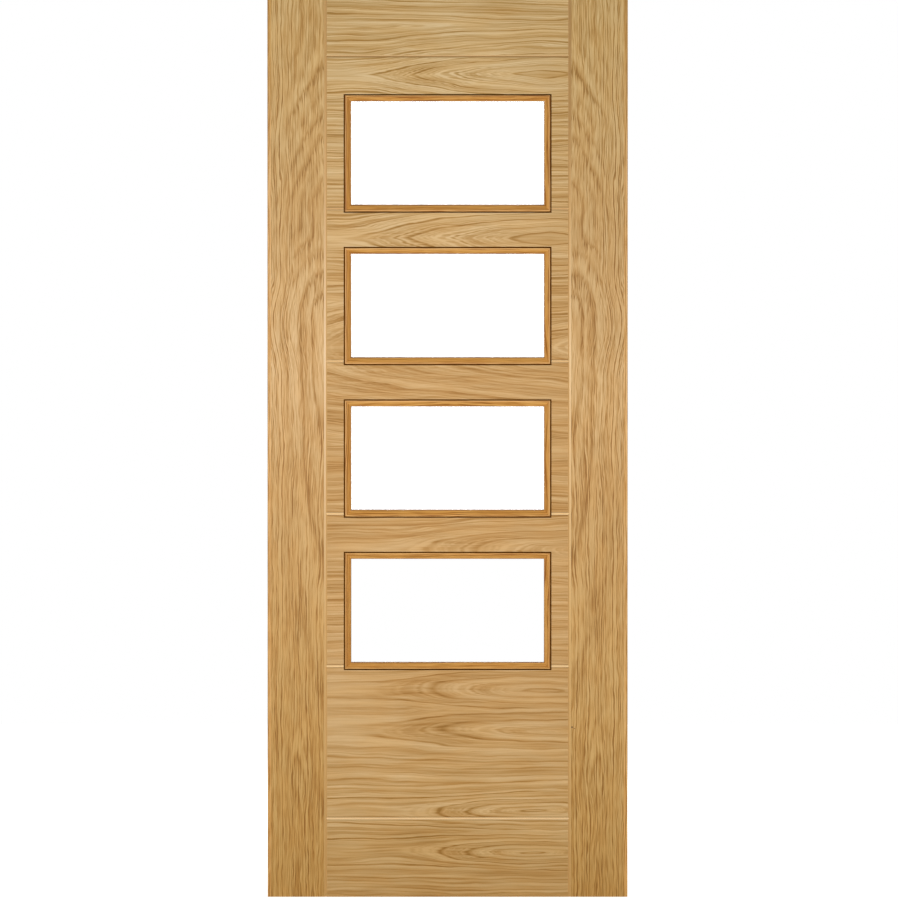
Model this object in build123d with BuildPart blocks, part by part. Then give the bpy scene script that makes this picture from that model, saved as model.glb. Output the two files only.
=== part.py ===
from build123d import *
import os

os.makedirs("parts", exist_ok=True)

# The leaf seen from the front: X from the hinge edge to the lock edge, Y to the back, Z up
leaf_width = 813
leaf_height = 2032
leaf_thickness = 35

# Solid oak lipping on the two long edges, with eased outer arrises
lipping_width = 8
lipping_arris = 1

# Veneered framing, by the widths that show on the face
stile_width = 124
top_rail_height = 128
bottom_rail_height = 178
cross_rail_height = 86
margin_width = 40

# V-joints: the boards are bevelled evenly, the stiles with a broader bevel of the same depth
v_joint_leg = 2.5
stile_bevel = 4.5

# Lights, numbered from the top: each opening reaches a little below the V-joint at its foot
light_count = 4
light_drop = 9

# Clear panes, with room to the sides of their openings
glass_thickness = 4
glass_edge_room = 3

# Mitred beads: a shadow gap at the opening's side, a flat fillet, a small step and a slope to a rounded nose
bead_width = 17
bead_gap = 3
bead_gap_depth = 10
bead_flat = 3.4
bead_step = 0.6
bead_nose = 7
bead_round = 4

# Places that follow from these sizes
face = leaf_thickness / 2
pane_face = glass_thickness / 2
middle_x = leaf_width / 2
field_left = lipping_width + stile_width
field_right = leaf_width - field_left
light_left = field_left + margin_width
light_right = field_right - margin_width
light_width = light_right - light_left
top_joint = leaf_height - top_rail_height
board_pitch = (top_joint - bottom_rail_height) / (light_count + 1)
light_height = board_pitch - cross_rail_height + light_drop


def joint_height(number):
    """Height of the V-joint at the foot of a light; number 0 is the joint under the top rail."""
    return top_joint - number * board_pitch


def light_bottom(number):
    return joint_height(number) - light_drop


def light_top(number):
    return light_bottom(number) + light_height


def save(part, name):
    part.label = name
    export_step(part, f"parts/{name}.step")


def make_board(name, left, right, bottom, top, v_sides, light_above=None):
    """A board of the leaf's thickness, bevelled on both faces along its V-jointed sides.

    A board under a light is also notched by the foot of that light's opening.
    """
    with BuildPart() as board:
        with BuildSketch(Plane.XZ):
            with Locations(((left + right) / 2, (bottom + top) / 2)):
                Rectangle(right - left, top - bottom)
        extrude(amount=face, both=True)
        across, upright = board.edges().filter_by(Axis.X), board.edges().filter_by(Axis.Z)
        side_edges = {
            "left": upright.group_by(Axis.X)[0],
            "right": upright.group_by(Axis.X)[-1],
            "bottom": across.group_by(Axis.Z)[0],
            "top": across.group_by(Axis.Z)[-1],
        }
        chamfer([edge for side in v_sides for edge in side_edges[side]], v_joint_leg)
        if light_above is not None:
            with BuildSketch(Plane.XZ):
                with Locations((middle_x, light_bottom(light_above) + light_height / 2)):
                    Rectangle(light_width, light_height)
            extrude(amount=face, both=True, mode=Mode.SUBTRACT)
    save(board.part, name)


def make_lipping(name, inner_x, outward):
    """A full-height strip; outward is -1 at the hinge edge and +1 at the lock edge."""
    with BuildPart() as lipping:
        with BuildSketch(Plane.XY) as section:
            with Locations((inner_x + outward * lipping_width / 2, 0)):
                Rectangle(lipping_width, leaf_thickness)
            fillet(section.vertices().sort_by(Axis((0, 0, 0), (outward, 0, 0)))[-2:], lipping_arris)
        extrude(amount=leaf_height)
    save(lipping.part, name)


def make_stile(name, outer_x, inner_x):
    """A full-height board with a broad bevel on both faces along its inner side."""
    bevel_x = inner_x - stile_bevel if inner_x > outer_x else inner_x + stile_bevel
    with BuildPart() as stile:
        with BuildSketch(Plane.XY):
            with BuildLine():
                Polyline(
                    (outer_x, -face),
                    (bevel_x, -face),
                    (inner_x, v_joint_leg - face),
                    (inner_x, face - v_joint_leg),
                    (bevel_x, face),
                    (outer_x, face),
                    close=True,
                )
            make_face()
        extrude(amount=leaf_height)
    save(stile.part, name)


def make_pane(number):
    with BuildPart() as pane:
        with BuildSketch(Plane.XZ):
            with Locations((middle_x, light_bottom(number) + light_height / 2)):
                Rectangle(light_width - 2 * glass_edge_room, light_height - 2 * glass_edge_room)
        extrude(amount=pane_face, both=True)
    save(pane.part, f"light_{number}_glass")


def bead_bar(length, facing):
    """One mitred bead under the head of an opening, centred on X; facing is -1 in front and +1 behind."""
    profile = [
        (pane_face, 0),
        (face - bead_gap_depth, 0),
        (face - bead_gap_depth, -bead_gap),
        (face, -bead_gap),
        (face, -bead_gap - bead_flat),
        (face - bead_step, -bead_gap - bead_flat),
        (pane_face + bead_nose, -bead_width),
        (pane_face, -bead_width),
    ]
    with BuildPart() as bar:
        with BuildSketch(Plane.YZ) as section:
            with BuildLine():
                Polyline([(facing * depth, drop) for depth, drop in profile], close=True)
            make_face()
            sight_line = section.vertices().group_by(Axis.Y)[0]
            fillet(sight_line.sort_by(Axis((0, 0, 0), (facing, 0, 0)))[-1], bead_round)
        extrude(amount=length / 2, both=True)
        for end in (-1, 1):
            mitre = Plane(origin=(end * length / 2, 0, 0), z_dir=(end, 0, -1))
            split(bisect_by=mitre, keep=Keep.BOTTOM)
    return bar.part


def make_beads(number, facing, face_name):
    """The four beads of one face of a light: the level pair and the upright pair."""
    level_bar = bead_bar(light_width, facing)
    upright_bar = bead_bar(light_height, facing)
    middle_z = light_bottom(number) + light_height / 2
    with BuildPart() as cross_beads:
        with Locations((middle_x, 0, light_top(number))):
            add(level_bar)
        with Locations((middle_x, 0, light_bottom(number))):
            add(level_bar, rotation=(0, 180, 0))
    save(cross_beads.part, f"light_{number}_{face_name}_cross_beads")
    with BuildPart() as side_beads:
        with Locations((light_left, 0, middle_z)):
            add(upright_bar, rotation=(0, -90, 0))
        with Locations((light_right, 0, middle_z)):
            add(upright_bar, rotation=(0, 90, 0))
    save(side_beads.part, f"light_{number}_{face_name}_side_beads")


# Edges and stiles
make_lipping("hinge_edge_lipping", lipping_width, -1)
make_lipping("lock_edge_lipping", leaf_width - lipping_width, 1)
make_stile("hinge_stile", lipping_width, field_left)
make_stile("lock_stile", leaf_width - lipping_width, field_right)

# Top and bottom of the field
panel_top = joint_height(light_count)
make_board("top_rail", field_left, field_right, top_joint, leaf_height, ["left", "right", "bottom"])
make_board(
    "bottom_panel",
    field_left,
    field_right,
    bottom_rail_height,
    panel_top,
    ["left", "right", "bottom", "top"],
    light_above=light_count,
)
make_board("bottom_rail", field_left, field_right, 0, bottom_rail_height, ["left", "right", "top"])

# Each light with the rail over it, the margins beside it, its pane and its beads
for number in range(1, light_count + 1):
    make_board(
        f"cross_rail_{number}",
        field_left,
        field_right,
        light_top(number),
        joint_height(number - 1),
        ["left", "right", "top"],
        light_above=number - 1 if number > 1 else None,
    )
    foot, head = joint_height(number), light_top(number)
    make_board(f"light_{number}_hinge_side_margin", field_left, light_left, foot, head, ["left", "bottom"])
    make_board(f"light_{number}_lock_side_margin", light_right, field_right, foot, head, ["right", "bottom"])
    make_pane(number)
    make_beads(number, -1, "front")
    make_beads(number, 1, "back")
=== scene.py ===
from collections import namedtuple
from math import cos, pi, radians, sin

import bpy
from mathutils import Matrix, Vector


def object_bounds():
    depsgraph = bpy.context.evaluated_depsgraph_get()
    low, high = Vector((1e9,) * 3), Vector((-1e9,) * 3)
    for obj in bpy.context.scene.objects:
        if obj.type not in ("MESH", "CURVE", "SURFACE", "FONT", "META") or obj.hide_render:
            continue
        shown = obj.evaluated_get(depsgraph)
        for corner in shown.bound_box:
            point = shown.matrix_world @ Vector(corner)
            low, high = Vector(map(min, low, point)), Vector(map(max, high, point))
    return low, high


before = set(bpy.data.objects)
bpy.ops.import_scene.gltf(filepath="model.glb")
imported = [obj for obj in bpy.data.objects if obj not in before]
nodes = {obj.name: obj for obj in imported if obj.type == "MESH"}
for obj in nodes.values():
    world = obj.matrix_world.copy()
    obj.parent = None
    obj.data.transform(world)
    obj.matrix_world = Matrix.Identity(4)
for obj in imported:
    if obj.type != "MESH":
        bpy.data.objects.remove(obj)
cad_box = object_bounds()
low, high = Vector(cad_box[0]), Vector(cad_box[1])
middle = (low + high) / 2
leaf_height = high.z - low.z
front_y = low.y

# The leaf in millimetres, in which the materials measure places
MILLIMETRES = 1000.0
LEAF_WIDTH = (high.x - low.x) * MILLIMETRES
LEAF_HEIGHT = leaf_height * MILLIMETRES
LEAF_THICKNESS = (high.y - low.y) * MILLIMETRES


def srgb(red, green, blue):
    """A colour written as it looks on screen, 0 to 255, as the linear RGBA that shaders take."""
    channels = []
    for value in (red, green, blue):
        share = value / 255
        channels.append(share / 12.92 if share <= 0.04045 else ((share + 0.055) / 1.055) ** 2.4)
    return (*channels, 1.0)


class Graph:
    """One material's node tree. A number, a tuple or another node's socket can feed any input."""

    def __init__(self, name, holder=None):
        self.owner = holder or bpy.data.materials.new(name)
        self.owner.use_nodes = True
        self.tree = self.owner.node_tree
        self.tree.nodes.clear()

    def node(self, kind, inputs=None, **settings):
        made = self.tree.nodes.new("ShaderNode" + kind)
        for key, value in settings.items():
            setattr(made, key, value)
        for key, value in (inputs or {}).items():
            self.feed(made.inputs[key], value)
        return made

    def feed(self, socket, value):
        if isinstance(value, bpy.types.NodeSocket):
            self.tree.links.new(value, socket)
        else:
            socket.default_value = value

    def math(self, operation, *values, clamp=False):
        made = self.node("Math", dict(enumerate(values)), operation=operation, use_clamp=clamp)
        return made.outputs[0]

    def product(self, first, *others):
        for other in others:
            first = self.math("MULTIPLY", first, other)
        return first

    def remains(self, share, loss):
        """What is left of 1 where a share of 0 to 1 takes up to the loss from it."""
        return self.math("MULTIPLY_ADD", share, -loss, 1.0)

    def apart(self, value, place):
        """Distance of a value from a place, to either side."""
        return self.math("ABSOLUTE", self.math("SUBTRACT", value, place))

    def vector(self, operation, *values):
        made = self.node("VectorMath", dict(enumerate(values)), operation=operation)
        return made.outputs["Value" if operation in ("LENGTH", "DOT_PRODUCT") else "Vector"]

    def split(self, vector):
        return self.node("SeparateXYZ", {0: vector}).outputs

    def join(self, x, y, z):
        return self.node("CombineXYZ", {0: x, 1: y, 2: z}).outputs[0]

    def noise(self, vector, sizes, detail=1.0, roughness=0.5):
        """Noise from 0 to 1 whose features are about the given sizes, in the vector's own units."""
        scaled = self.vector("DIVIDE", vector, sizes)
        inputs = {"Vector": scaled, "Scale": 1.0, "Detail": detail, "Roughness": roughness}
        return self.node("TexNoise", inputs).outputs[0]

    def noise_1d(self, value, size, seed=0.0):
        """Noise from 0 to 1 along a value, with features of about the size; a seed picks another stretch."""
        place = self.math("DIVIDE", self.math("ADD", value, seed), size)
        inputs = {"W": place, "Scale": 1.0, "Detail": 1.0}
        return self.node("TexNoise", inputs, noise_dimensions="1D").outputs[0]

    def fade(self, value, start, end, first=0.0, last=1.0):
        """A smooth change from first to last while the value goes from start to end, either way."""
        inputs = {"Value": value, "From Min": start, "From Max": end, "To Min": first, "To Max": last}
        return self.node("MapRange", inputs, interpolation_type="SMOOTHSTEP").outputs[0]

    def window(self, value, start, full, ebb, end):
        """1 from full to ebb, and 0 before the start and after the end."""
        return self.product(self.fade(value, start, full), self.fade(value, end, ebb))

    def offset(self, value, reach):
        """A 0 to 1 value as an offset of up to the reach either way."""
        return self.math("MULTIPLY_ADD", value, reach * 2, -reach)

    def ramp(self, value, stops):
        """The colour or the number at a value of 0 to 1, from stops in order."""
        made = self.node("ValToRGB", {0: value})
        elements = made.color_ramp.elements
        while len(elements) < len(stops):
            elements.new(1.0)
        for element, (position, color) in zip(elements, stops):
            element.position = position
            element.color = color if isinstance(color, tuple) else (color, color, color, 1.0)
        return made.outputs[0]

    def mix(self, share, first, second, blend="MIX"):
        inputs = {0: share, 6: first, 7: second}
        return self.node("Mix", inputs, data_type="RGBA", blend_type=blend).outputs[2]

    def surface(self, shader_socket):
        kind = "OutputWorld" if isinstance(self.owner, bpy.types.World) else "OutputMaterial"
        self.node(kind, {"Surface": shader_socket})
        return self.owner


# Oak: growth rings cut by the face as long arches, with fibre, ticks and pores along the grain

Figure = namedtuple(
    "Figure",
    "along across slenderness start gain tail run pointed",
    defaults=(1.0, 1.0, 0.0, 0.15),
)
Figure.__doc__ = """Heart of a set of arches, in millimetres along and across the grain.

Start is the ring distance at the heart, and gain makes the rings closer. A tail below 1 leaves the arches
open below the heart. With a run they end at about that distance from the heart, and the lines beyond follow
the grain. Pointed is 1 for Vs, 0 for round arches and less than 0 for blunt ones.
"""

Look = namedtuple(
    "Look",
    "sway wobble ripple fray ring_pitch unevenness ring_depth line_width line_depth band_pitch band_depth "
    "fibre_length fibre_width fibre_depth streak_depth tick_depth roughness specular",
)
Look.__doc__ = "Sizes in millimetres and depths of tone of the layers of one kind of oak."

Shares = namedtuple("Shares", "fray ring line lift bulge crowd", defaults=(1.0, 1.0, 1.0, 0.0, None, None))
Shares.__doc__ = """Strength of the layers of one piece by place, and a lift of its depth of tone.

With a bulge the fine lines run straight along the grain and bow aside by so much, and leave the arches alone.
With a crowd the rings are closer by that share away from the hearts.
"""

# Sizes of the layers' features in millimetres: along the grain, across it and into the leaf
SWAY_SIZES = (280.0, 75.0, 60.0)
WOBBLE_SIZES = (120.0, 26.0, 36.0)
RIPPLE_SIZES = (34.0, 8.0, 12.0)
STREAK_SIZES = (230.0, 6.0, 20.0)
CLOUD_SIZES = (300.0, 45.0, 60.0)
TICK_SIZES = (15.0, 2.0, 4.0)
PORE_SIZES = (5.0, 0.28, 1.0)
PATCH_SIZES = (190.0, 16.0, 40.0)
WARMTH_SIZES = (110.0, 24.0, 40.0)
FIBRE_THICKNESS = 8.0
# How far the grain leans across while it goes into the leaf
GRAIN_LEAN = 0.6

# Spread of a noise that is drawn out to its full range, and of one that leaves sparse marks
FULL_SPREAD = (0.25, 0.75)
STRONG_SPREAD = (0.3, 0.7)
SPARSE = (0.6, 0.75)
PATCH_SPREAD = (0.25, 0.6)
WARMTH_SPREAD = (0.35, 0.65)

# One ring from the heart outward, as depth of tone: a dark line, a pale one and a plain stretch
RING_PLAIN = 0.35
RING = [(0.0, 0.35), (0.08, 0.5), (0.22, 1.0), (0.38, 0.5), (0.54, 0.1), (0.75, 0.25), (1.0, 0.35)]
# Rings over which their width and their strength change, and the least strength of a ring and of a patch
WIDTH_CHANGE = 1.7
STRENGTH_CHANGE = 1.3
WEAKEST_RING = 0.3
WEAKEST_PATCH = 0.6
# Stretches of noise that are apart from each other
STRENGTH_SEED = 50.0
LINE_SEED = 200.0
BAND_SEED = 900.0
# Ring distances within which lines and rings fade towards a heart, and the rings' strength there
LINELESS_HEART = 7.0
CALM_HEART = 12.0
HEART_RINGS = 0.35
# Ring distance beyond which rings can crowd, and the softness of the end of a run
CROWDED_FROM = 34.0
RUN_SOFTNESS = 110.0

# Tones as shares of the palest one: plain, dark and deepest grain, and a warmer cast
WHITE = (1.0, 1.0, 1.0, 1.0)
PLAIN = (0.83, 0.755, 0.61, 1.0)
DARK = (0.65, 0.52, 0.29, 1.0)
DEEP = (0.46, 0.33, 0.11, 1.0)
WARM = (1.0, 0.955, 0.86, 1.0)
SHADES = [(0.0, WHITE), (0.4, PLAIN), (0.75, DARK), (1.0, DEEP)]
MEAN_TONE = 0.38
CLOUD_DEPTH = 0.2
PORE_DEPTH = 0.1

# Relief of fibre and pores in the lacquer, and how much duller dark grain is than pale
FIBRE_RELIEF = 0.4
RELIEF_STRENGTH = 0.25
RELIEF_METRES = 0.0003
PALE_POLISH = 0.04
DARK_DULLNESS = 0.1


def leaf_place(graph):
    """Millimetres from the hinge edge, from the front face into the leaf, and from the floor."""
    place = graph.node("TexCoord").outputs["Object"]
    x, y, z = graph.split(graph.vector("MULTIPLY", place, (MILLIMETRES,) * 3))
    return x, graph.math("SUBTRACT", y, front_y * MILLIMETRES), z


def open_foot(graph, place, arm, figure):
    """An arm of a figure, shortened below its heart so that the arches stay open there."""
    above = graph.math("GREATER_THAN", graph.split(place)[0], figure.along)
    share = graph.math("MULTIPLY_ADD", above, 1.0 - figure.tail, figure.tail)
    return graph.vector("MULTIPLY", arm, graph.join(share, 1.0, 0.0))


def run_out(graph, arm, figure):
    """An arm of a figure that grows no longer beyond the figure's run."""
    along, across, _ = graph.split(arm)
    end, softness = figure.slenderness * figure.run, figure.slenderness * RUN_SOFTNESS
    return graph.join(graph.math("SMOOTH_MIN", along, end, softness), across, 0.0)


def ring_radius(graph, place, figures, blend):
    """Ring distance from the nearest heart."""
    radius = None
    for figure in figures:
        scale = (figure.slenderness, 1.0, 0.0)
        shift = (-figure.slenderness * figure.along, -figure.across, 0.0)
        arm = graph.vector("ABSOLUTE", graph.vector("MULTIPLY_ADD", place, scale, shift))
        if figure.tail < 1.0:
            arm = open_foot(graph, place, arm, figure)
        if figure.run:
            arm = run_out(graph, arm, figure)
        corner = graph.vector("DOT_PRODUCT", arm, (figure.pointed, figure.pointed, 0.0))
        arch = graph.math("MULTIPLY_ADD", graph.vector("LENGTH", arm), 1.0 - figure.pointed, corner)
        distance = graph.math("MULTIPLY_ADD", arch, figure.gain, figure.start)
        radius = distance if radius is None else graph.math("SMOOTH_MIN", radius, distance, blend)
    return radius


def oak_tone(graph, along, across, depth, figures, look, seed, shares):
    """Depth of tone of the wood from 0 to 1, and the height of its fibre and pores."""
    through = graph.math("MULTIPLY_ADD", depth, GRAIN_LEAN, across)
    place = graph.join(along, through, depth)
    swayed = through
    for sizes, reach in ((SWAY_SIZES, look.sway), (WOBBLE_SIZES, look.wobble), (RIPPLE_SIZES, look.ripple)):
        swayed = graph.math("ADD", swayed, graph.offset(graph.noise(place, sizes), reach))

    # Fibre, streaks, ticks and pores along the grain, and clouds of tone
    fibre_place = graph.join(along, swayed, graph.math("ADD", depth, seed))
    fibre = graph.noise(fibre_place, (look.fibre_length, look.fibre_width, FIBRE_THICKNESS))
    fibre = graph.fade(fibre, *FULL_SPREAD)
    streak = graph.noise(fibre_place, STREAK_SIZES, detail=2.0, roughness=0.55)
    tick = graph.fade(graph.noise(fibre_place, TICK_SIZES), *SPARSE)
    pores = graph.fade(graph.noise(fibre_place, PORE_SIZES), *SPARSE)
    cloud = graph.noise(place, CLOUD_SIZES)

    # Ring distance, frayed by the fibre
    fray = graph.product(graph.offset(fibre, look.fray), shares.fray)
    frayed = graph.join(graph.math("ADD", along, fray), swayed, 0.0)
    radius = ring_radius(graph, frayed, figures, look.ring_pitch / 2)
    if shares.crowd is not None:
        beyond = graph.math("MAXIMUM", graph.math("SUBTRACT", radius, CROWDED_FROM), 0.0)
        radius = graph.math("MULTIPLY_ADD", beyond, shares.crowd, radius)

    # Rings, each with its own width and strength, with fine lines and broad bands
    count = graph.math("DIVIDE", radius, look.ring_pitch)
    phase = graph.math("ADD", count, graph.offset(graph.noise_1d(count, WIDTH_CHANGE), look.unevenness / 2))
    ring = graph.math("SUBTRACT", graph.ramp(graph.math("FRACT", phase), RING), RING_PLAIN)
    strength = graph.noise_1d(count, STRENGTH_CHANGE, STRENGTH_SEED)
    strength = graph.fade(strength, *STRONG_SPREAD, WEAKEST_RING)
    patch = graph.fade(graph.noise(place, PATCH_SIZES), *PATCH_SPREAD, WEAKEST_PATCH)
    rings = graph.product(ring, strength, patch)
    course = radius if shares.bulge is None else graph.math("ADD", swayed, shares.bulge)
    line = graph.fade(graph.noise_1d(course, look.line_width, LINE_SEED), *STRONG_SPREAD, -1.0)
    if shares.bulge is None:
        line = graph.product(line, graph.fade(radius, 0.0, LINELESS_HEART))
        rings = graph.product(rings, graph.fade(radius, 0.0, CALM_HEART, HEART_RINGS))
    lines = graph.product(line, patch, shares.line)
    band = graph.noise_1d(radius, look.band_pitch, BAND_SEED)

    # All layers together
    tone = graph.math("MULTIPLY_ADD", rings, graph.product(shares.ring, look.ring_depth), MEAN_TONE)
    tone = graph.math("MULTIPLY_ADD", lines, look.line_depth, tone)
    layers = [
        (band, look.band_depth), (fibre, look.fibre_depth), (streak, look.streak_depth), (cloud, CLOUD_DEPTH),
    ]
    for layer, layer_depth in layers:
        tone = graph.math("ADD", tone, graph.offset(layer, layer_depth))
    tone = graph.math("MULTIPLY_ADD", tick, look.tick_depth, tone)
    tone = graph.math("ADD", tone, shares.lift)
    tone = graph.math("MULTIPLY_ADD", pores, PORE_DEPTH, tone, clamp=True)
    return tone, graph.math("SUBTRACT", graph.product(fibre, FIBRE_RELIEF), pores)


# Stiles: where their layers show, in millimetres from the floor and from the edge of the leaf

# Where the straight grain bows towards the edge
Bow = namedtuple("Bow", "height half_length width")
BOWS = [Bow(1297.0, 130.0, 20.0), Bow(1010.0, 110.0, -7.0), Bow(1700.0, 140.0, 6.0)]
# Distances between which the arches set in from the edge, and heights between which the broad ones do
INNER_SIDE = (30.0, 85.0)
ARCHES_FROM = (920.0, 1120.0)
# Strength of lines and rings below the broad arches, and what these take from the lines
LOW_LINES = 0.85
LOW_RINGS = 0.8
LINES_LOST_IN_ARCHES = 0.6
# Height at which the arches are quieter, the reach of that and their strength there
CALM_HEIGHT = 1180.0
CALM_REACH = (60.0, 170.0)
CALM_RINGS = 0.72
# Heights between which the foot sets in, with its lift of tone at the edge and at the inner side
STILE_FOOT = (420.0, 150.0)
STILE_FOOT_LIFT = (-0.024, 0.056)


def stile_shares(graph, along, across):
    """Frayed arches show by the inner side of a stile and fine lines by its outer edge and at its foot."""
    inward = graph.fade(across, *INNER_SIDE)
    arched = graph.product(inward, graph.fade(along, *ARCHES_FROM))
    bulge = 0.0
    for bow in BOWS:
        aside = graph.fade(graph.apart(along, bow.height), bow.half_length, 0.0, 0.0, bow.width)
        bulge = graph.math("ADD", bulge, aside)
    line = graph.fade(along, *ARCHES_FROM, LOW_LINES)
    line = graph.product(line, graph.remains(arched, LINES_LOST_IN_ARCHES))
    calm = graph.fade(graph.apart(along, CALM_HEIGHT), *CALM_REACH, CALM_RINGS)
    ring = graph.product(inward, graph.fade(along, *ARCHES_FROM, LOW_RINGS), calm)
    lift = graph.product(graph.fade(across, *INNER_SIDE, *STILE_FOOT_LIFT), graph.fade(along, *STILE_FOOT))
    return Shares(fray=arched, ring=ring, line=line, lift=lift, bulge=bulge)


# Boards: where their layers show, in millimetres from the hinge edge and from the floor

# Strength of the rings and of the fine lines by share of the leaf's height
BOARD_RINGS = [(0.0, 1.35), (0.15, 1.35), (0.24, 1.1), (0.3, 0.66), (0.6, 0.66), (0.68, 0.9), (1.0, 0.95)]
BOARD_LINES = [
    (0.0, 0.48), (0.2, 0.5), (0.27, 0.6), (0.32, 0.66), (0.6, 0.66), (0.68, 1.15), (0.92, 1.15), (0.95, 0.85),
]
# Plain pale wood before the tips of the arches: its end, its reach from their axis and what it takes away
PLAIN_ALONG = (275.0, 200.0)
PLAIN_ASIDE = (26.0, 8.0)
PLAIN_RING_LOSS = 0.85
PLAIN_LINE_LOSS = 0.6
PLAIN_LIFT = -0.07
# Softer grain between the arches of the bottom boards
BOARD_FOOT = (640.0, 500.0)
BETWEEN_ARCHES = (25.0, 55.0)
BETWEEN_RING_LOSS = 0.5
BETWEEN_LINE_LOSS = 0.3
# Heights between which crowded rings set in, and by how much they are closer
CROWDED_HEIGHT = (1540.0, 1600.0)
CROWD = 0.42
# Areas of deeper or paler tone, each as a window along and across the boards
Area = namedtuple("Area", "along across lift")
FROM_LOW = (-2.0, -1.0)
TO_HIGH = (3000.0, 3001.0)
BOTTOM_MIDDLE = Area((271.0, 361.0, 461.0, 551.0), (*FROM_LOW, 500.0, 640.0), 0.07)
PANEL_BY_HINGE_STILE = Area((*FROM_LOW, 240.0, 340.0), (310.0, 380.0, 500.0, 640.0), -0.1)
LOCK_SIDE_OF_UPPER_LIGHTS = Area((600.0, 650.0, *TO_HIGH), (1180.0, 1260.0, 1850.0, 1904.0), 0.085)
BOARD_AREAS = [BOTTOM_MIDDLE, PANEL_BY_HINGE_STILE, LOCK_SIDE_OF_UPPER_LIGHTS]


def board_shares(graph, along, across, figures):
    """Plain pale wood lies on the axis of the arches, before their tips, and softer grain between some."""
    off_axis = LEAF_HEIGHT
    for figure in figures:
        off_axis = graph.math("MINIMUM", off_axis, graph.apart(across, figure.across))
    plain = graph.product(graph.fade(along, *PLAIN_ALONG), graph.fade(off_axis, *PLAIN_ASIDE))
    between = graph.product(graph.fade(off_axis, *BETWEEN_ARCHES), graph.fade(across, *BOARD_FOOT))
    height = graph.math("DIVIDE", across, LEAF_HEIGHT)
    ring = graph.product(graph.remains(plain, PLAIN_RING_LOSS), graph.ramp(height, BOARD_RINGS))
    ring = graph.product(ring, graph.remains(between, BETWEEN_RING_LOSS))
    line = graph.product(graph.remains(plain, PLAIN_LINE_LOSS), graph.ramp(height, BOARD_LINES))
    line = graph.product(line, graph.remains(between, BETWEEN_LINE_LOSS))
    lift = graph.product(plain, PLAIN_LIFT)
    for area in BOARD_AREAS:
        inside = graph.product(graph.window(along, *area.along), graph.window(across, *area.across))
        lift = graph.math("MULTIPLY_ADD", inside, area.lift, lift)
    crowd = graph.fade(across, *CROWDED_HEIGHT, 0.0, CROWD)
    return Shares(ring=ring, line=line, lift=lift, crowd=crowd)


# V-joints, as the boards and stiles were cut, with the tones of their bevels, painted highlight and shade
# included, by share of the leaf's height

JOINT_LEFT = 132.0
LOWEST_JOINT = 178.0
TOP_JOINT = 1904.0
JOINT_PITCH = 345.2
V_LEG = 2.5
STILE_LEG = 4.5
# Stile bevels: paler cut wood with a painted highlight that peaks at 0.61 of the height, and on the lock
# stile painted shade near the top
HINGE_STILE_BEVEL_HIGHLIGHT = [
    (0.0, (212, 170, 104)), (0.3, (225, 185, 123)), (0.61, (255, 226, 184)), (0.8, (227, 187, 131)),
    (0.93, (208, 168, 108)),
]
LOCK_STILE_BEVEL_HIGHLIGHT_AND_SHADE = [
    (0.0, (212, 170, 104)), (0.3, (228, 188, 124)), (0.61, (255, 221, 170)), (0.76, (224, 184, 126)),
    (0.87, (186, 144, 88)), (1.0, (182, 142, 88)),
]
UPRIGHT_BEVEL = [(0.0, (220, 178, 114)), (0.5, (220, 178, 116)), (1.0, (214, 174, 116))]
# Level bevels: paler cut wood with a painted highlight, brightest low on the leaf
LEVEL_BEVEL_HIGHLIGHT = [
    (0.0, (255, 226, 176)), (0.5, (255, 224, 170)), (0.76, (232, 194, 138)), (0.93, (212, 178, 126)),
]
# Facets of the top joint: painted light on the one above it and painted shade on the one below
TOP_JOINT_PAINTED_LIGHT = srgb(232, 198, 144)
TOP_JOINT_PAINTED_SHADE = srgb(190, 152, 98)
# How far a bevel faces the front, from none to all of its tone and back, and the share of that tone
BEVEL_FACING = (0.55, 0.65, 0.92, 0.96)
BEVEL_SHARE = 0.85
# Painted shade as a darker line along the arrises: its tone, its reach from the joint and its share on a
# stile
ARRIS_PAINTED_SHADE = (0.74, 0.71, 0.65, 1.0)
BOARD_ARRIS = (V_LEG * 2.2, V_LEG * 1.4)
STILE_ARRIS = (STILE_LEG * 1.5, STILE_LEG * 1.1)
STILE_ARRIS_SHARE = 0.4


def drifting(graph, z, drift):
    """The tone at a height, from stops by share of the leaf's height."""
    return graph.ramp(graph.math("DIVIDE", z, LEAF_HEIGHT), [(share, srgb(*color)) for share, color in drift])


def board_bevel(graph, z, normal):
    """Tone of the bevels of a board: its level ones, those of the top joint and its upright ones."""
    top_tone = graph.mix(graph.math("GREATER_THAN", z, TOP_JOINT), TOP_JOINT_PAINTED_SHADE, TOP_JOINT_PAINTED_LIGHT)
    at_top = graph.math("GREATER_THAN", z, TOP_JOINT - JOINT_PITCH / 2)
    level_tone = graph.mix(at_top, drifting(graph, z, LEVEL_BEVEL_HIGHLIGHT), top_tone)
    is_level = graph.math("GREATER_THAN", normal[2], normal[0])
    return graph.mix(is_level, drifting(graph, z, UPRIGHT_BEVEL), level_tone)


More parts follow.
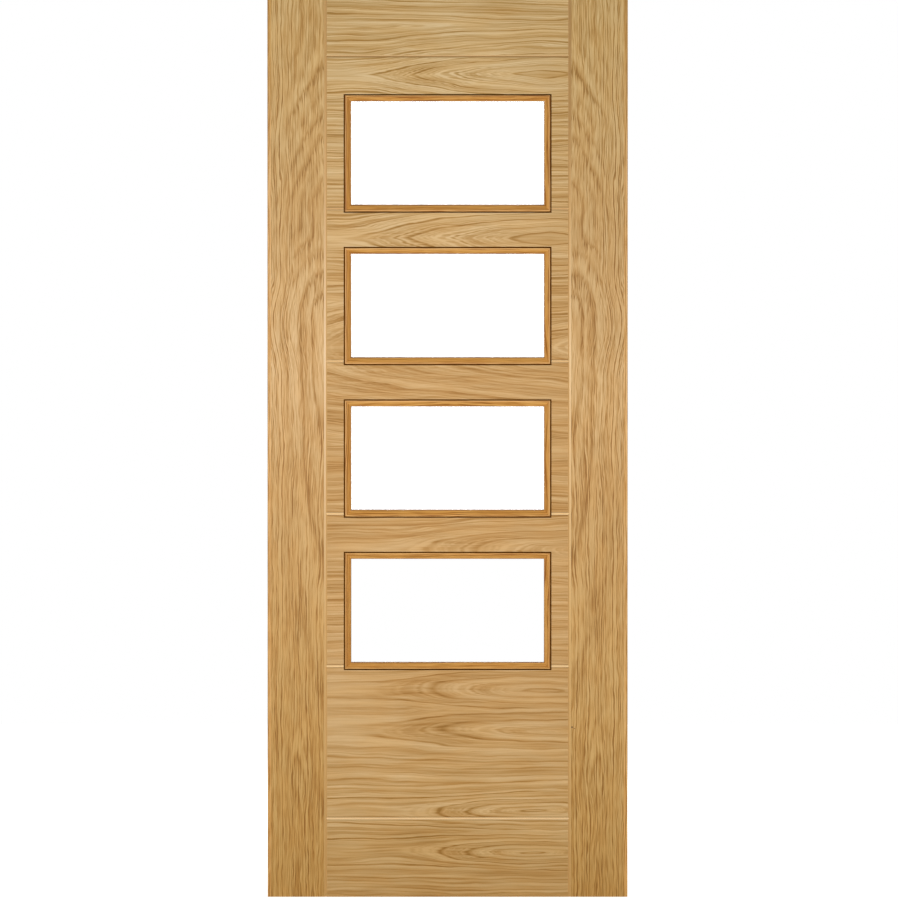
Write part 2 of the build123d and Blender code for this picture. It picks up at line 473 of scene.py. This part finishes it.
def joint_tones(graph, color, x, z, bevel):
    """Bevels in the V-joints and a darker line along their arrises; a stile has a bevel tone of its own."""
    normal = graph.split(graph.vector("ABSOLUTE", graph.node("NewGeometry").outputs["True Normal"]))
    past_joint = graph.math("SUBTRACT", graph.apart(x, LEAF_WIDTH / 2), LEAF_WIDTH / 2 - JOINT_LEFT)
    if bevel:
        to_upright = graph.math("ABSOLUTE", past_joint)
        line = graph.product(graph.fade(to_upright, *STILE_ARRIS), STILE_ARRIS_SHARE)
        bevel_tone = drifting(graph, z, bevel)
    else:
        to_level = graph.math("PINGPONG", graph.math("SUBTRACT", z, LOWEST_JOINT), JOINT_PITCH / 2)
        in_field = graph.math("LESS_THAN", past_joint, V_LEG)
        below_top = graph.math("LESS_THAN", z, TOP_JOINT)
        line = graph.product(graph.fade(to_level, *BOARD_ARRIS), in_field, below_top)
        bevel_tone = board_bevel(graph, z, normal)
    # Painted shade along the arrises, then the bevel tones with their painted highlight
    color = graph.mix(line, color, graph.mix(1.0, color, ARRIS_PAINTED_SHADE, "MULTIPLY"))
    on_bevel = graph.window(normal[1], *BEVEL_FACING)
    return graph.mix(graph.product(on_bevel, BEVEL_SHARE), color, bevel_tone)


# Beads: painted shade on the return at the sight line, by depth below the leaf's face and by how far it faces
# the front

GAP_FLOOR = 10.0
# Tone of the painted shade on a bead's return
NOSE_PAINTED_SHADE = srgb(134, 88, 36)
NOSE_DEPTH = (GAP_FLOOR - 3.0, GAP_FLOOR - 1.0)
NOSE_FACING = (0.9, 0.35)


# Painted shade on the nose of a bead, where its return faces aside next to the glass
def bead_tones(graph, color, depth):
    facing = graph.math("ABSOLUTE", graph.split(graph.node("NewGeometry").outputs["True Normal"])[1])
    sunk = graph.math("PINGPONG", depth, LEAF_THICKNESS / 2)
    nose = graph.product(graph.fade(sunk, *NOSE_DEPTH), graph.fade(facing, *NOSE_FACING))
    return graph.mix(nose, color, NOSE_PAINTED_SHADE)


# Two small knots at the inner side of the lock stile, as distance from the hinge edge, height and half width

Knot = namedtuple("Knot", "across height half_width")
KNOTS = [Knot(687.6, 384.8, 2.6), Knot(693.2, 381.6, 1.4)]
KNOT_TONE = srgb(92, 56, 30)
KNOT_FLATNESS = 0.7
KNOT_DEPTH = 3.0
KNOT_EDGE = (1.3, 0.6)
KNOT_SHARE = 0.85


def knot_tones(graph, color, x, depth, z, knots):
    """Dark ovals on the front face."""
    for knot in knots:
        arm = graph.vector("SUBTRACT", graph.join(x, depth, z), (knot.across, 0.0, knot.height))
        size = (knot.half_width, KNOT_DEPTH, knot.half_width * KNOT_FLATNESS)
        reach = graph.vector("LENGTH", graph.vector("DIVIDE", arm, size))
        color = graph.mix(graph.fade(reach, *KNOT_EDGE, 0.0, KNOT_SHARE), color, KNOT_TONE)
    return color


def oak(
    name, along_axis, figures, drift, look, seed,
    mirrored=False, jointed=False, bevel=None, bead=False, knots=(),
):
    """An oak material. The drift lists the palest tone by its share of the leaf's height."""
    graph = Graph(name)
    x, depth, z = leaf_place(graph)
    side = graph.math("SUBTRACT", LEAF_WIDTH, x) if mirrored else x
    along, across = (x, z) if along_axis == "X" else (z, side)
    shares = Shares()
    if jointed:
        shares = stile_shares(graph, z, side) if along_axis == "Z" else board_shares(graph, x, z, figures)
    tone, relief = oak_tone(graph, along, across, depth, figures, look, seed, shares)
    color = graph.mix(1.0, drifting(graph, z, drift), graph.ramp(tone, SHADES), "MULTIPLY")
    warmth = graph.noise(graph.join(along, across, depth), WARMTH_SIZES, detail=2.0)
    warmth = graph.fade(warmth, *WARMTH_SPREAD)
    color = graph.mix(warmth, color, graph.mix(1.0, color, WARM, "MULTIPLY"))
    color = knot_tones(graph, color, x, depth, z, knots)
    if jointed:
        color = joint_tones(graph, color, x, z, bevel)
    if bead:
        color = bead_tones(graph, color, depth)
    bump = {"Height": relief, "Strength": RELIEF_STRENGTH, "Distance": RELIEF_METRES}
    inputs = {
        "Base Color": color,
        "Roughness": graph.math("MULTIPLY_ADD", tone, DARK_DULLNESS, look.roughness - PALE_POLISH),
        "Specular IOR Level": look.specular,
        "Normal": graph.node("Bump", bump).outputs[0],
    }
    return graph.surface(graph.node("BsdfPrincipled", inputs).outputs[0])


# Painted shade of the shadow gap, and glass

GAP_FIBRE_SIZES = (14.0, 3.0, 14.0)
# Dark tones of the painted shade in the gap round the beads
GAP_PAINTED_SHADE_TONES = [(0.3, srgb(116, 66, 8)), (0.7, srgb(130, 76, 12))]
GAP_ROUGHNESS = 0.8
GAP_SPECULAR = 0.05
GLASS_IOR = 1.5
GLASS_WAVE_METRES = (0.12, 0.12, 0.12)
GLASS_WAVE_STRENGTH = 0.02
GLASS_WAVE_HEIGHT = 0.0001
SMUDGE_METRES = (0.06, 0.06, 0.06)
SMUDGE_SPREAD = (0.45, 0.8)
SMUDGE_ROUGHNESS = 0.03


def painted_gap_shade():
    """Dull dark oak of the gap round the beads, which takes no polish."""
    graph = Graph("oak_gap_painted_shade")
    fibre = graph.noise(graph.join(*leaf_place(graph)), GAP_FIBRE_SIZES, detail=2.0)
    color = graph.ramp(fibre, GAP_PAINTED_SHADE_TONES)
    inputs = {"Base Color": color, "Roughness": GAP_ROUGHNESS, "Specular IOR Level": GAP_SPECULAR}
    return graph.surface(graph.node("BsdfPrincipled", inputs).outputs[0])


def clear_glass():
    """Clear glass, very slightly waved and smudged."""
    graph = Graph("clear_glass")
    place = graph.node("TexCoord").outputs["Object"]
    wave = graph.noise(place, GLASS_WAVE_METRES)
    bump = {"Height": wave, "Strength": GLASS_WAVE_STRENGTH, "Distance": GLASS_WAVE_HEIGHT}
    smudge = graph.noise(place, SMUDGE_METRES, detail=3.0)
    inputs = {
        "Base Color": WHITE,
        "Roughness": graph.fade(smudge, *SMUDGE_SPREAD, 0.0, SMUDGE_ROUGHNESS),
        "IOR": GLASS_IOR,
        "Transmission Weight": 1.0,
        "Normal": graph.node("Bump", bump).outputs[0],
    }
    return graph.surface(graph.node("BsdfPrincipled", inputs).outputs[0])


# Figure of the level boards, from the top of the leaf down
BOARD_FIGURES = [
    Figure(704, 2090, 0.060, 0.0),
    Figure(619, 1861, 0.140, -5.5, run=390.0, pointed=0.3),
    Figure(637, 1492, 0.140, -8.7, run=440.0, pointed=0.3),
    Figure(820, 1245, 0.160, 0.0),
    Figure(704, 785, 0.137, 3.7, run=400.0, pointed=0.0),
    Figure(623, 469, 0.120, -3.0, gain=1.3, run=330.0, pointed=-0.1),
    Figure(637, 378, 0.105, 10.0, run=380.0, pointed=0.0),
    Figure(600, 195, 0.125, -3.0, gain=2.1, run=245.0, pointed=-0.1),
    Figure(600, 102, 0.125, -3.0, gain=2.1, run=255.0, pointed=-0.1),
]
# Figure of the stiles, by height and distance from the edge: broad arches above and slim ones at the foot
STILE_FIGURES = [
    Figure(1578, 122, 0.50, -14.6, tail=0.072, run=330.0, pointed=0.7),
    Figure(1322, 122, 0.56, -94.6, tail=0.16),
    Figure(797, 63, 0.20, -33.0, tail=0.4),
    Figure(-75, 68, 0.07, -170.0, gain=4.5),
]
# Straight grain of lippings and beads, whose heart is far away
STRAIGHT_FIGURES = [Figure(1000, -400, 0.02, 0.0)]

# Palest tone of each kind of piece by share of the leaf's height
BOARD_DRIFT = [
    (0.0, (215, 178, 120)), (0.06, (218, 182, 125)), (0.12, (227, 192, 139)), (0.2, (217, 178, 122)),
    (0.26, (217, 177, 121)), (0.32, (224, 185, 131)), (0.4, (216, 175, 117)), (0.55, (216, 175, 117)),
    (0.95, (227, 197, 145)),
]
HINGE_STILE_DRIFT = [
    (0.0, (212, 169, 97)), (0.48, (216, 173, 109)), (0.58, (228, 188, 131)), (0.78, (215, 175, 111)),
    (0.95, (222, 186, 124)),
]
LOCK_STILE_DRIFT = [
    (0.0, (210, 167, 95)), (0.2, (217, 176, 110)), (0.44, (213, 170, 106)), (0.55, (227, 187, 128)),
    (0.66, (215, 175, 115)), (0.78, (214, 176, 115)), (0.95, (221, 187, 126)),
]
HINGE_LIPPING_DRIFT = [
    (0.0, (226, 177, 106)), (0.6, (234, 189, 126)), (0.8, (229, 183, 118)), (0.95, (214, 169, 95)),
]
LOCK_LIPPING_DRIFT = [
    (0.0, (232, 184, 112)), (0.6, (236, 191, 127)), (0.8, (231, 186, 120)), (0.95, (216, 171, 98)),
]
LEVEL_BEAD_DRIFT = [(0.0, (226, 169, 87)), (1.0, (226, 169, 87))]
UPRIGHT_BEAD_DRIFT = [(0.0, (215, 158, 80)), (1.0, (215, 158, 80))]

BOARD_LOOK = Look(
    sway=9.0, wobble=5.5, ripple=1.1, fray=4.0,
    ring_pitch=15.8, unevenness=0.25, ring_depth=0.88,
    line_width=2.8, line_depth=0.32, band_pitch=26.0, band_depth=0.36,
    fibre_length=110.0, fibre_width=3.2, fibre_depth=0.14,
    streak_depth=0.3, tick_depth=0.0, roughness=0.52, specular=0.3,
)
STILE_LOOK = Look(
    sway=10.0, wobble=4.0, ripple=2.4, fray=14.0,
    ring_pitch=25.5, unevenness=0.3, ring_depth=1.0,
    line_width=3.2, line_depth=0.48, band_pitch=20.0, band_depth=0.2,
    fibre_length=44.0, fibre_width=2.2, fibre_depth=0.3,
    streak_depth=0.2, tick_depth=0.1, roughness=0.45, specular=0.32,
)
LOCK_STILE_LOOK = STILE_LOOK._replace(line_depth=0.56, fibre_depth=0.34)
LIPPING_LOOK = STILE_LOOK._replace(ring_pitch=5.0, streak_depth=0.5, wobble=1.0, ripple=0.3, line_width=2.4)
BEAD_LOOK = STILE_LOOK._replace(ring_pitch=5.0, tick_depth=0.05, wobble=1.0, ripple=0.3, line_width=2.4)

board_oak = oak("oak_boards", "X", BOARD_FIGURES, BOARD_DRIFT, BOARD_LOOK, seed=3.0, jointed=True)
hinge_stile_oak = oak(
    "oak_hinge_stile", "Z", STILE_FIGURES, HINGE_STILE_DRIFT, STILE_LOOK, seed=11.0,
    jointed=True, bevel=HINGE_STILE_BEVEL_HIGHLIGHT,
)
lock_stile_oak = oak(
    "oak_lock_stile", "Z", STILE_FIGURES, LOCK_STILE_DRIFT, LOCK_STILE_LOOK, seed=57.0,
    mirrored=True, jointed=True, bevel=LOCK_STILE_BEVEL_HIGHLIGHT_AND_SHADE, knots=KNOTS,
)
hinge_lipping_oak = oak(
    "oak_hinge_lipping", "Z", STRAIGHT_FIGURES, HINGE_LIPPING_DRIFT, LIPPING_LOOK, seed=5.0,
)
lock_lipping_oak = oak(
    "oak_lock_lipping", "Z", STRAIGHT_FIGURES, LOCK_LIPPING_DRIFT, LIPPING_LOOK, seed=5.0,
)
upright_bead_oak = oak(
    "oak_upright_beads", "Z", STRAIGHT_FIGURES, UPRIGHT_BEAD_DRIFT, BEAD_LOOK, seed=21.0, bead=True,
)
level_bead_oak = oak(
    "oak_level_beads", "X", STRAIGHT_FIGURES, LEVEL_BEAD_DRIFT, BEAD_LOOK, seed=33.0, bead=True,
)
# Painted shade for the faces in the gap round the beads
gap_painted_shade = painted_gap_shade()
glass = clear_glass()


# Each piece gets its material, and the faces in the shadow gap round the lights get the gap's painted shade

UPRIGHT_PIECES = {
    "hinge_edge_lipping": hinge_lipping_oak,
    "lock_edge_lipping": lock_lipping_oak,
    "hinge_stile": hinge_stile_oak,
    "lock_stile": lock_stile_oak,
}
# A face that faces sideways and one that faces the front or the back, by the share of its normal that does
SIDEWAYS = 0.3
OUTWARD = 0.9
# Millimetres of room in finding the gap's side, its floor and the ends of the leaf
GAP_SIDE_ROOM = 2.0
GAP_FLOOR_ROOM = 0.5
END_ROOM = 1.0


def material_for(node_name):
    if node_name.endswith("_glass"):
        return glass
    if node_name.endswith("_side_beads"):
        return upright_bead_oak
    if node_name.endswith("_cross_beads"):
        return level_bead_oak
    return UPRIGHT_PIECES.get(node_name, board_oak)


def in_gap(polygon, is_bead):
    """Whether a face lies in the shadow gap between the beads and the sides of their opening."""
    place = polygon.center * MILLIMETRES
    sunk = LEAF_THICKNESS / 2 - abs(place.y)
    facing = abs(polygon.normal.y)
    if not is_bead:
        return facing < SIDEWAYS and END_ROOM < place.z < LEAF_HEIGHT - END_ROOM
    if facing < SIDEWAYS:
        return sunk < GAP_FLOOR - GAP_SIDE_ROOM
    return facing > OUTWARD and abs(sunk - GAP_FLOOR) < GAP_FLOOR_ROOM


for node_name, piece in nodes.items():
    finish = material_for(node_name)
    piece.data.materials.clear()
    piece.data.materials.append(finish)
    if finish in (board_oak, upright_bead_oak, level_bead_oak):
        piece.data.materials.append(gap_painted_shade)
        for polygon in piece.data.polygons:
            polygon.material_index = int(in_gap(polygon, finish is not board_oak))


# Studio: white ground, one soft frontal light and a broader one behind

AMBIENT = 0.39
FLOOR_SIZE = 9.0
FLOOR_TONE = srgb(228, 228, 228)
FLOOR_GLOW = 0.8
FRONT_X = middle.x - 0.14
FRONT_HEIGHT = 1.17
FRONT_DISTANCE = 2.0
FRONT_SIZE = 1.04
FRONT_RADIANCE = 6.75
BACK_PLACE = (middle.x + 0.6, high.y + 3.0, 1.8)
BACK_TARGET = (middle.x, high.y, 1.0)
BACK_SIZE = 1.6
BACK_RADIANCE = 6.0


def link(made):
    bpy.context.scene.collection.objects.link(made)
    return made


def seen_directly(graph):
    """1 for rays from the camera, off a glossy surface or through glass, which see the plain white ground."""
    path = graph.node("LightPath").outputs
    seen = graph.math("MAXIMUM", path["Is Camera Ray"], path["Is Glossy Ray"])
    return graph.math("MAXIMUM", seen, path["Is Transmission Ray"])


def white_world():
    world = bpy.data.worlds.new("studio")
    bpy.context.scene.world = world
    graph = Graph("studio", world)
    inputs = {"Value": seen_directly(graph), "To Min": AMBIENT, "To Max": 1.0}
    strength = graph.node("MapRange", inputs).outputs[0]
    graph.surface(graph.node("Background", {"Color": WHITE, "Strength": strength}).outputs[0])


def pale_floor():
    """A pale floor that glows for the rays that see it, so that it meets the white ground."""
    graph = Graph("pale_floor")
    diffuse = graph.node("BsdfDiffuse", {"Color": FLOOR_TONE}).outputs[0]
    strength = graph.product(seen_directly(graph), FLOOR_GLOW)
    glow = graph.node("Emission", {"Color": WHITE, "Strength": strength}).outputs[0]
    material = graph.surface(graph.node("AddShader", {0: diffuse, 1: glow}).outputs[0])
    mesh = bpy.data.meshes.new("floor")
    half = FLOOR_SIZE / 2
    sides = ((-1, -1), (1, -1), (1, 1), (-1, 1))
    corners = [(middle.x + side_x * half, middle.y + side_y * half, low.z) for side_x, side_y in sides]
    mesh.from_pydata(corners, [], [(0, 1, 2, 3)])
    mesh.materials.append(material)
    link(bpy.data.objects.new("floor", mesh))


def softbox(name, place, target, size, radiance):
    """A square lamp of that radiance, as a share of white, facing the target."""
    lamp = bpy.data.lights.new(name, "AREA")
    lamp.shape = "SQUARE"
    lamp.size = size
    lamp.energy = radiance * size * size * pi
    made = link(bpy.data.objects.new(name, lamp))
    made.location = place
    made.rotation_euler = (Vector(target) - Vector(place)).to_track_quat("-Z", "Y").to_euler()
    made.visible_camera = False
    made.visible_transmission = False


white_world()
pale_floor()
front_place = (FRONT_X, front_y - FRONT_DISTANCE, FRONT_HEIGHT)
softbox("front_softbox", front_place, (FRONT_X, front_y, FRONT_HEIGHT), FRONT_SIZE, FRONT_RADIANCE)
softbox("back_softbox", BACK_PLACE, BACK_TARGET, BACK_SIZE, BACK_RADIANCE)


# Camera: from the front and a little above, far off with a long lens, the leaf filling the frame's height

CAMERA_DISTANCE = 80.0
CAMERA_RISE = radians(4.5)
SENSOR = 36.0
PHOTO_PIXELS = 898
LEAF_PIXELS = 897.4
AIM_PIXELS_RIGHT = 1.4
AIM_PIXELS_DOWN = 0.4
camera = bpy.data.cameras.new("camera")
camera.sensor_width = SENSOR
pixel = leaf_height * cos(CAMERA_RISE) / LEAF_PIXELS
camera.lens = SENSOR * CAMERA_DISTANCE / (pixel * PHOTO_PIXELS)
camera.clip_end = 2 * CAMERA_DISTANCE
camera_object = link(bpy.data.objects.new("camera", camera))
aim = Vector((middle.x + AIM_PIXELS_RIGHT * pixel, front_y, middle.z - AIM_PIXELS_DOWN * pixel))
camera_object.location = aim + CAMERA_DISTANCE * Vector((0.0, -cos(CAMERA_RISE), sin(CAMERA_RISE)))
camera_object.rotation_euler = (pi / 2 - CAMERA_RISE, 0.0, 0.0)
scene = bpy.context.scene
scene.camera = camera_object
scene.view_settings.view_transform = "Standard"
